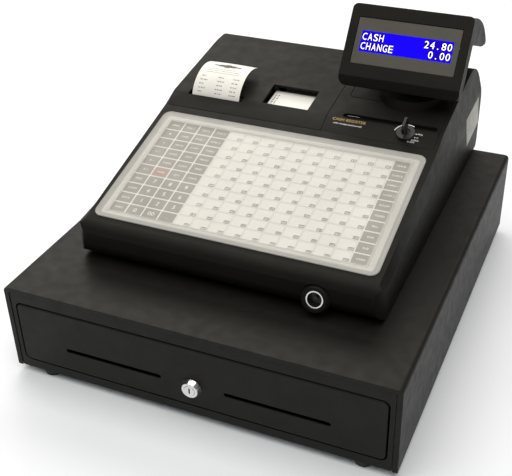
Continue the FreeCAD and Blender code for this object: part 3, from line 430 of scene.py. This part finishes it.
def siliconeCover():
    # how far in from the rim, and how high above the deck, from the underside round to the top
    section = [(14.2, 1.7), (13.2, 0.9), (12.0, 0.25), (0.6, 0.25), (0.1, 0.5), (0.0, 1.1), (0.35, 1.6),
               (1.0, 1.75), (1.7, 1.6), (2.2, 1.25), (3.4, 1.2), (9.4, 1.2), (9.9, 1.5), (10.5, 1.55),
               (11.0, 1.3), (11.4, 1.5), (11.9, 2.2), (12.6, 2.6), (13.6, 2.7)]
    loops = []
    for inset, height in section:
        radius = max(keyboard["coverCorner"] - inset * mm, 2.2 * mm)
        plan = roundedLoop(keyboard["coverHalfWidth"] - inset * mm, 0.7 * inset * mm,
                           keyboard["coverDepth"] - inset * mm, radius)
        loops.append([(x, y, height * mm) for x, y in plan])
    mesh = lofted("siliconeCover", loops, deck)
    mesh.materials.append(finish["silicone"])
    mesh.materials.append(finish["clearSilicone"])
    for face in mesh.polygons:
        if len(face.vertices) > 4:
            face.material_index = 1
    smoothShade(mesh, 40)
    return mesh


makePiece("silicone_keyboard_cover", siliconeCover(), "housing", None, ["keyboard_cover"], "silicone")


class InkSheet:
    def __init__(self, place, height):
        self.place = place
        self.height = height
        self.work = bmesh.new()

    def panel(self, points):
        verts = [self.work.verts.new(self.place @ Vector((x, y, self.height))) for x, y in points]
        self.work.faces.new(verts)

    def bar(self, x0, y0, x1, y1):
        self.panel([(x0, y0), (x1, y0), (x1, y1), (x0, y1)])

    def outline(self, x0, y0, x1, y1, width):
        self.bar(x0, y0, x1, y0 + width)
        self.bar(x0, y1 - width, x1, y1)
        self.bar(x0, y0 + width, x0 + width, y1 - width)
        self.bar(x1 - width, y0 + width, x1, y1 - width)

    def roundPanel(self, x0, y0, x1, y1, radius):
        loop = roundedLoop((x1 - x0) / 2, y0, y1, radius, 4)
        middle = (x0 + x1) / 2
        self.panel([(middle + x, y) for x, y in loop])

    def word(self, text, x, y, size, stretch=1.0, align="CENTER"):
        mesh = letterMesh(text, size, stretch, align)
        move = self.place @ Matrix.Translation((x, y, self.height))
        mesh.transform(move)
        self.work.from_mesh(mesh)
        bpy.data.meshes.remove(mesh)

    # one letter drawn to fill a screen cell; a full stop keeps its own shape
    def cellLetter(self, letter, x, y, width, height):
        mesh = letterMesh(letter, height / 0.7, 1.0, "CENTER")
        spots = [v.co for v in mesh.vertices]
        left, right = min(p.x for p in spots), max(p.x for p in spots)
        low, high = min(p.y for p in spots), max(p.y for p in spots)
        middle = Matrix.Translation((-(left + right) / 2, -(low + high) / 2, 0))
        if letter == ".":
            fit = Matrix.Translation((0, 0.6 * mm - height / 2, 0))
        else:
            fit = Matrix.Diagonal((width / (right - left), height / (high - low), 1, 1))
        mesh.transform(self.place @ Matrix.Translation((x, y, self.height)) @ fit @ middle)
        self.work.from_mesh(mesh)
        bpy.data.meshes.remove(mesh)

    def finishMesh(self, name):
        mesh = bpy.data.meshes.new(name)
        self.work.to_mesh(mesh)
        self.work.free()
        return mesh


def letterMesh(text, size, stretch, align):
    data = bpy.data.curves.new("letters", "FONT")
    data.body = text
    data.size = size
    data.align_x = align
    data.align_y = "CENTER"
    data.resolution_u = 3
    holder = bpy.data.objects.new("letters", data)
    bpy.context.scene.collection.objects.link(holder)
    bpy.context.view_layer.update()
    mesh = bpy.data.meshes.new_from_object(holder.evaluated_get(bpy.context.evaluated_depsgraph_get()))
    bpy.data.objects.remove(holder)
    bpy.data.curves.remove(data)
    mesh.transform(Matrix.Diagonal((stretch, 1, 1, 1)))
    mesh.materials.clear()
    return mesh


leftLegends = [
    ["OPEN", "TAX 1", "TAX 2", "TAX 3"],
    ["+", "PAGE", "LEVEL 1", "LEVEL 2"],
    ["-", "NOTE", "COPY", "TABLE"],
    ["x / :", "HOLD", "SPLIT", "PRINT"],
    ["% 1", "CARD", "GUEST", "SEND"],
    ["% 2", "VOID", "QTY", "CODE"],
    ["FEED", "7", "8", "9"],
    ["CLEAR", "4", "5", "6"],
    ["BACK", "1", "2", "3"],
    ["SHIFT", "0", "00", "."],
]
rightLegends = ["NAME", "CHECK", "CARD 1", "CARD 2", "ROOM", "FOOD", "BILL", "SUM", "SUB", "CASH"]


def printedKeys():
    columnStep = (keyboard["right"] - keyboard["left"]) / keyboard["columns"]
    rowStep = (keyboard["back"] - keyboard["front"]) / keyboard["rows"]
    top = keyboard["sheetTop"]
    half = keyboard["gap"] / 2
    inset = keyboard["outlineInset"]
    boxWide, boxTall = keyboard["numberBox"]
    grey = InkSheet(deck, top + 0.05 * mm)
    pink = InkSheet(deck, top + 0.05 * mm)
    white = InkSheet(deck, top + 0.09 * mm)
    dark = InkSheet(deck, top + 0.07 * mm)
    pale = InkSheet(deck, top + 0.05 * mm)
    number = 0
    for row in range(keyboard["rows"]):
        y1 = keyboard["back"] - rowStep * row
        y0 = y1 - rowStep
        for column in range(keyboard["columns"]):
            x0 = keyboard["left"] + columnStep * column
            x1 = x0 + columnStep
            middle = ((x0 + x1) / 2, (y0 + y1) / 2)
            if column < 4 or column == 14:
                text = rightLegends[row] if column == 14 else leftLegends[row][column]
                sheet = pink if (row, column) == keyboard["pinkKey"] else grey
                sheet.roundPanel(x0 + half, y0 + half, x1 - half, y1 - half, keyboard["printCorner"])
                size = keyboard["bigLegend"] if len(text) < 3 else keyboard["smallLegend"]
                white.word(text, middle[0], middle[1], size)
                continue
            number += 1
            pale.outline(x0 + inset, y0 + inset, x1 - inset, y1 - inset, keyboard["outlineWidth"])
            boxRight = x1 - 1.2 * mm
            boxLow = y0 + 1.3 * mm
            dark.outline(boxRight - boxWide, boxLow, boxRight, boxLow + boxTall, keyboard["numberBoxWidth"])
            dark.word(str(number), boxRight - boxWide / 2, boxLow + boxTall / 2, keyboard["numberSize"])
    prints = (("key_prints_grey", grey, "greyKeyPrint"), ("key_print_void", pink, "pinkKeyPrint"),
              ("key_legends", white, "whiteInk"), ("key_numbers", dark, "darkInk"),
              ("key_outlines", pale, "paleInk"))
    for name, sheet, look in prints:
        mesh = sheet.finishMesh(name)
        makePiece(name, mesh, "housing", finish[look], slotName="key_legend_sheet", evenShade=False)


printedKeys()
print("keyboard made")


# receipt
receipt = {
    "curve": ((51.3, 200.4), (51.6, 216.0), (78.0, 236.0), (106.0, 223.6)),
    "thickness": 0.12 * mm,
    "rows": 110,
    "columns": 24,
    "cup": 0.5 * mm,
    "seed": 11,
    # lines of print: how many, first and step along the paper, height, longest dash, where its words stand
    "lines": (
        (5, 0.16, 0.08, 0.02, 1.3, (((6, 11), (27, 34), (45, 52)), ((6, 14), (27, 36), (45, 52)))),
        (3, 0.58, 0.045, 0.011, 0.9, (((9, 49),),)),
    ),
    # plain lozenge at the top: bands, pieces in each, middle, half width, first and step along, height
    "lozenge": (6, 10, 29, 20, 0.735, 0.018, 0.015),
}


def receiptPoint(t):
    weights = ((1 - t) ** 3, 3 * t * (1 - t) ** 2, 3 * t ** 2 * (1 - t), t ** 3)
    y = sum(w * p[0] for w, p in zip(weights, receipt["curve"]))
    z = sum(w * p[1] for w, p in zip(weights, receipt["curve"]))
    return Vector((0, y * mm, z * mm))


def receiptNormal(t):
    ahead = receiptPoint(min(t + 0.01, 1)) - receiptPoint(max(t - 0.01, 0))
    return Vector((0, -ahead.z, ahead.y)).normalized()


def receiptPaper():
    low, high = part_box("receipt_strip")
    left, right = low[0], high[0]
    columns = receipt["columns"]
    verts, faces = [], []
    rows = receipt["rows"]
    for side in (0, 1):
        for i in range(rows + 1):
            t = i / rows
            spot = receiptPoint(t) + receiptNormal(t) * receipt["thickness"] * side
            for j in range(columns + 1):
                across = j / columns
                cup = receipt["cup"] * t * (2 * across - 1) ** 2
                flat = Vector((left + (right - left) * across, spot.y, spot.z))
                verts.append(flat - receiptNormal(t) * cup)
    layer = (rows + 1) * (columns + 1)

    def at(side, i, j):
        return side * layer + i * (columns + 1) + j

    for i in range(rows):
        for j in range(columns):
            faces.append((at(1, i, j), at(1, i, j + 1), at(1, i + 1, j + 1), at(1, i + 1, j)))
            faces.append((at(0, i, j), at(0, i + 1, j), at(0, i + 1, j + 1), at(0, i, j + 1)))
        faces.append((at(0, i, 0), at(1, i, 0), at(1, i + 1, 0), at(0, i + 1, 0)))
        faces.append((at(0, i, columns), at(0, i + 1, columns), at(1, i + 1, columns), at(1, i, columns)))
    for j in range(columns):
        faces.append((at(0, 0, j), at(0, 0, j + 1), at(1, 0, j + 1), at(1, 0, j)))
        faces.append((at(0, rows, j), at(1, rows, j), at(1, rows, j + 1), at(0, rows, j + 1)))
    mesh = meshFrom("receiptPaper", verts, faces)
    smoothShade(mesh)
    return mesh


# dashes of uneven length from start to end, as printed words look from afar; all in mm
def dashes(dice, start, end, longest):
    x = start
    while x < end:
        step = dice.uniform(0.5, longest)
        yield x, x + step
        x += step + dice.uniform(0.4, longest)


def receiptInk():
    low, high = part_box("receipt_strip")
    left, width = low[0], high[0] - low[0]
    dice = random.Random(receipt["seed"])
    work = bmesh.new()

    def spotOn(across, t):
        cup = receipt["cup"] * t * (2 * across / width - 1) ** 2
        lift = receipt["thickness"] + 0.05 * mm - cup
        point = receiptPoint(t) + receiptNormal(t) * lift
        return Vector((left + across, point.y, point.z))

    def mark(x0, x1, t0, t1):
        corners = [spotOn(x * mm, t) for x, t in ((x0, t0), (x1, t0), (x1, t1), (x0, t1))]
        work.faces.new([work.verts.new(c) for c in corners])

    for amount, first, step, tall, longest, words in receipt["lines"]:
        for k in range(amount):
            t = first + step * k
            for start, end in words[k % len(words)]:
                for x0, x1 in dashes(dice, start, end, longest):
                    mark(x0, x1, t, t + tall)
    bands, pieces, middle, reachMost, first, step, tall = receipt["lozenge"]
    for band in range(bands):
        t = first + step * band
        reach = (1 - abs(2 * band + 1 - bands) / bands) * reachMost
        for k in range(pieces):
            x0, x1 = (middle + reach * (2 * n / pieces - 1) for n in (k, k + 1))
            mark(x0, x1, t, t + tall)
    mesh = bpy.data.meshes.new("receiptInk")
    work.to_mesh(mesh)
    work.free()
    return mesh


makePiece("receipt_paper", receiptPaper(), "printer_cover", finish["paper"], ["receipt_strip"], "paper")
makePiece("receipt_ink", receiptInk(), "printer_cover", finish["darkInk"], slotName="paper", evenShade=False)


# two narrow columns of print on the journal paper in its window
journal = {
    "columns": (-46.2 * mm, -42.8 * mm),
    "front": 60.0 * mm,
    "rear": 90.0 * mm,
    "dashWidth": 1.5 * mm,
    "dashLength": (0.8, 1.8),
    "dashGap": (1.0, 2.4),
    "seed": 5,
}


def journalInk():
    paper = bpy.data.objects["paper_webs_skin"].data
    top = BVHTree.FromPolygons([v.co for v in paper.vertices], [tuple(f.vertices) for f in paper.polygons])
    dice = random.Random(journal["seed"])
    work = bmesh.new()
    wide = journal["dashWidth"]
    for x in journal["columns"]:
        y = journal["front"]
        while y < journal["rear"]:
            long = dice.uniform(*journal["dashLength"]) * mm
            corners = []
            for dx, dy in ((0, 0), (wide, 0), (wide, long), (0, long)):
                spot = top.ray_cast(Vector((x + dx, y + dy, 0.3)), Vector((0, 0, -1)))[0]
                corners.append(work.verts.new(spot + Vector((0, 0, 0.08 * mm))))
            work.faces.new(corners)
            y += long + dice.uniform(*journal["dashGap"]) * mm
    mesh = bpy.data.meshes.new("journalInk")
    work.to_mesh(mesh)
    work.free()
    body = bodyOfNode["paper_webs"]
    makePiece("journal_ink", mesh, body, finish["darkInk"], slotName="paper", evenShade=False)


journalInk()
print("papers made")


# ejector springs
spring = {"turns": 9, "wire": 0.7 * mm, "steps": 20}


def springCoils():
    low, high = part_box("ejector_springs")
    middleZ = (low[2] + high[2]) / 2
    reach = (high[2] - low[2]) / 2 - spring["wire"]
    start, end = low[1] + spring["wire"], high[1] - spring["wire"]
    data = bpy.data.curves.new("springCoils", "CURVE")
    data.dimensions = "3D"
    data.bevel_depth = spring["wire"]
    data.bevel_resolution = 3
    data.use_fill_caps = True
    for middleX in (low[0] + reach + spring["wire"], high[0] - reach - spring["wire"]):
        line = data.splines.new("POLY")
        count = spring["turns"] * spring["steps"]
        line.points.add(count)
        for i in range(count + 1):
            angle = 2 * math.pi * i / spring["steps"]
            along = start + (end - start) * i / count
            x, z = middleX + reach * math.cos(angle), middleZ + reach * math.sin(angle)
            line.points[i].co = (x, along, z, 1)
    coil = bpy.data.objects.new("ejector_spring_coils", data)
    bpy.context.scene.collection.objects.link(coil)
    data.materials.append(finish["spring_steel"])
    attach(coil, "housing")
    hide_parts("ejector_springs")


springCoils()
print("springs made")


# display
display = {
    "tilt": 53.5,
    "centre": (98.5 * mm, 101.0 * mm, 276.0 * mm),
    "screenHalfWidth": 50.4 * mm,
    "screenLow": -11.4 * mm,
    "screenHigh": 11.6 * mm,
    "lines": (("CASH", "24.80"), ("CHANGE", "0.00")),
    "cells": 16,
    "cellHeight": 9.4 * mm,
    "letterWidth": 4.7 * mm,
    "letterHeight": 7.7 * mm,
    "glassDepth": 0.85 * mm,
    "margin": 0.7 * mm,
    # middle of the first line and the step to the next, as parts of the screen's height
    "firstLine": 0.28,
    "lineStep": 0.45,
}


def displayFrame():
    lean = math.radians(display["tilt"])
    return Matrix.Translation(display["centre"]) @ Matrix.Rotation(lean, 4, "X")


def operatorScreen():
    face = displayFrame()
    glass = -display["glassDepth"]
    half = display["screenHalfWidth"]
    start = -half + display["margin"]
    screen = InkSheet(face, glass)
    screen.roundPanel(-half, display["screenLow"], half, display["screenHigh"], 0.8 * mm)
    makePiece("operator_screen", screen.finishMesh("operator_screen"), "display_head", finish["blue_screen"],
              ["operator_lcd"], "blue_screen", evenShade=False)
    cells = InkSheet(face, glass + 0.04 * mm)
    text = InkSheet(face, glass + 0.08 * mm)
    pitch = -2 * start / display["cells"]
    height = display["screenHigh"] - display["screenLow"]
    cellHalf = display["cellHeight"] / 2
    for index, (word, amount) in enumerate(display["lines"]):
        y = display["screenHigh"] - height * (display["firstLine"] + display["lineStep"] * index)
        line = word + " " * (display["cells"] - len(word) - len(amount)) + amount
        for column, letter in enumerate(line):
            if letter == " ":
                continue
            x = start + pitch * (column + 0.5)
            cells.bar(x - pitch / 2, y - cellHalf, x + pitch / 2, y + cellHalf)
            text.cellLetter(letter, x, y, display["letterWidth"], display["letterHeight"])
    for name, sheet, look in (("operator_screen_cells", cells, "screenCell"),
                              ("operator_screen_text", text, "screenText")):
        mesh = sheet.finishMesh(name)
        makePiece(name, mesh, "display_head", finish[look], slotName="blue_screen", evenShade=False)


operatorScreen()
print("display made")


# blank label on the right flank, mode lock marks; the corners are y and z in mm
label = {"corners": ((210.4, 181.9), (149.0, 179.0), (167.2, 136.8), (224.8, 142.9)), "thick": 0.35 * mm}


def sideLabel():
    low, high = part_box("lower_case")
    face = high[0]
    loops = []
    for inset, lift in ((0, -0.1 * mm), (0, label["thick"] * 0.6), (0.02, label["thick"])):
        centre = [sum(c[k] for c in label["corners"]) / 4 for k in (0, 1)]
        loop = []
        for y, z in label["corners"]:
            y += (centre[0] - y) * inset
            z += (centre[1] - z) * inset
            loop.append((face + lift, y * mm, z * mm))
        loops.append(loop)
    mesh = lofted("sideLabel", loops, Matrix.Identity(4))
    smoothShade(mesh)
    makePiece("side_label", mesh, "housing", finish["silverLabel"], slotName="case_plastic", evenShade=False)


sideLabel()


modeLock = {
    "arcRadius": 13.2 * mm,
    "arcWidth": 0.9 * mm,
    "arcFrom": 62,
    "arcTo": 168,
    "arcSteps": 24,
    "dotRadius": 10.9 * mm,
    "dotHalf": 0.7 * mm,
    "wordGap": 1.6 * mm,
    "wordSize": 3.0 * mm,
    # angle of each position, and its name
    "stops": ((12, "PRG"), (-14, "X"), (-38, "REG"), (-62, "OFF")),
}


# the sloping lip in front of the display, with the mode lock's axis as its origin
def lipFrame():
    turn = next(joint for joint in record["behaviour"]["joints"] if joint["name"] == "mode_key_turn")
    normal = Vector(turn["axis"]).normalized()
    across = Vector((1, 0, 0))
    place = Matrix((across, normal.cross(across), normal)).transposed().to_4x4()
    place.translation = Vector(turn["pos_m"])
    return place


def modeMarks():
    marks = InkSheet(lipFrame(), 0.12 * mm)
    inner = modeLock["arcRadius"] - modeLock["arcWidth"] / 2
    outer = modeLock["arcRadius"] + modeLock["arcWidth"] / 2
    arc = modeLock["arcTo"] - modeLock["arcFrom"]
    steps = modeLock["arcSteps"]
    for i in range(steps):
        a, b = (math.radians(modeLock["arcFrom"] + arc * k / steps) for k in (i, i + 1))
        marks.panel([(reach * math.cos(turn), reach * math.sin(turn))
                     for reach, turn in ((inner, a), (outer, a), (outer, b), (inner, b))])
    half = modeLock["dotHalf"]
    for angle, word in modeLock["stops"]:
        x = modeLock["dotRadius"] * math.cos(math.radians(angle))
        y = modeLock["dotRadius"] * math.sin(math.radians(angle))
        marks.roundPanel(x - half, y - half, x + half, y + half, half - 0.01 * mm)
        marks.word(word, x + modeLock["wordGap"], y, modeLock["wordSize"], 1.0, "LEFT")
    makePiece("mode_marks", marks.finishMesh("mode_marks"), "housing", finish["whiteInk"],
              slotName="case_plastic", evenShade=False)


modeMarks()


# closed trough under the long slot in the lip
liner = {
    "middle": (98.0 * mm, 57.7 * mm, 0),
    "halfWidth": 53.4 * mm,
    "halfDepth": 5.2 * mm,
    "wall": 0.8 * mm,
    "corner": 3.4 * mm,
    "top": 203.0 * mm,
    "foot": 196.0 * mm,
    "floor": 196.6 * mm,
    "slope": 0.17,
}


def slotLiner():
    wall, top = liner["wall"], liner["top"]
    loops = []
    for inset, level in ((0, liner["foot"]), (0, top), (wall, top), (wall, liner["floor"])):
        depth = liner["halfDepth"] - inset
        plan = roundedLoop(liner["halfWidth"] - inset, -depth, depth, liner["corner"])
        loops.append([(x, y, level + y * liner["slope"]) for x, y in plan])
    mesh = lofted("slotLiner", loops, Matrix.Translation(liner["middle"]))
    smoothShade(mesh)
    makePiece("slot_liner", mesh, "housing", finish["black_rubber"], slotName="case_plastic")


slotLiner()


# what the thing is, in plain words on the lip: text, place across and up, size, ink
lipWords = (("CASH REGISTER", -83.0 * mm, 5.0 * mm, 5.3 * mm, "goldInk"),
            ("with receipt and journal", -80.5 * mm, -0.6 * mm, 3.3 * mm, "whiteInk"))
for index, (words, x, y, size, ink) in enumerate(lipWords):
    sheet = InkSheet(lipFrame(), 0.1 * mm)
    sheet.word(words, x, y, size, 1.0, "LEFT")
    name = "lip_words_" + str(index + 1)
    makePiece(name, sheet.finishMesh(name), "housing", finish[ink], slotName="case_plastic", evenShade=False)
print("label and lip marks made")


floorLook = {"colour": studio["floor"], "rough": 0.6, "grain": 0.002, "vary": 0.01, "fleck": 0.01,
             "patch": 0.6}


def makeFloor():
    half = 6.0
    corners = [(-half, -half, 0), (half, -half, 0), (half, half, 0), (-half, half, 0)]
    mesh = meshFrom("floor", corners, [(0, 1, 2, 3)])
    floor = bpy.data.objects.new("floor", mesh)
    bpy.context.scene.collection.objects.link(floor)
    mesh.materials.append(surface("paleFloor", floorLook))


makeFloor()
lightStudio(studio)
placeCamera(view)
bpy.context.scene.view_settings.view_transform = "Standard"
print("floor, lamps and camera set")
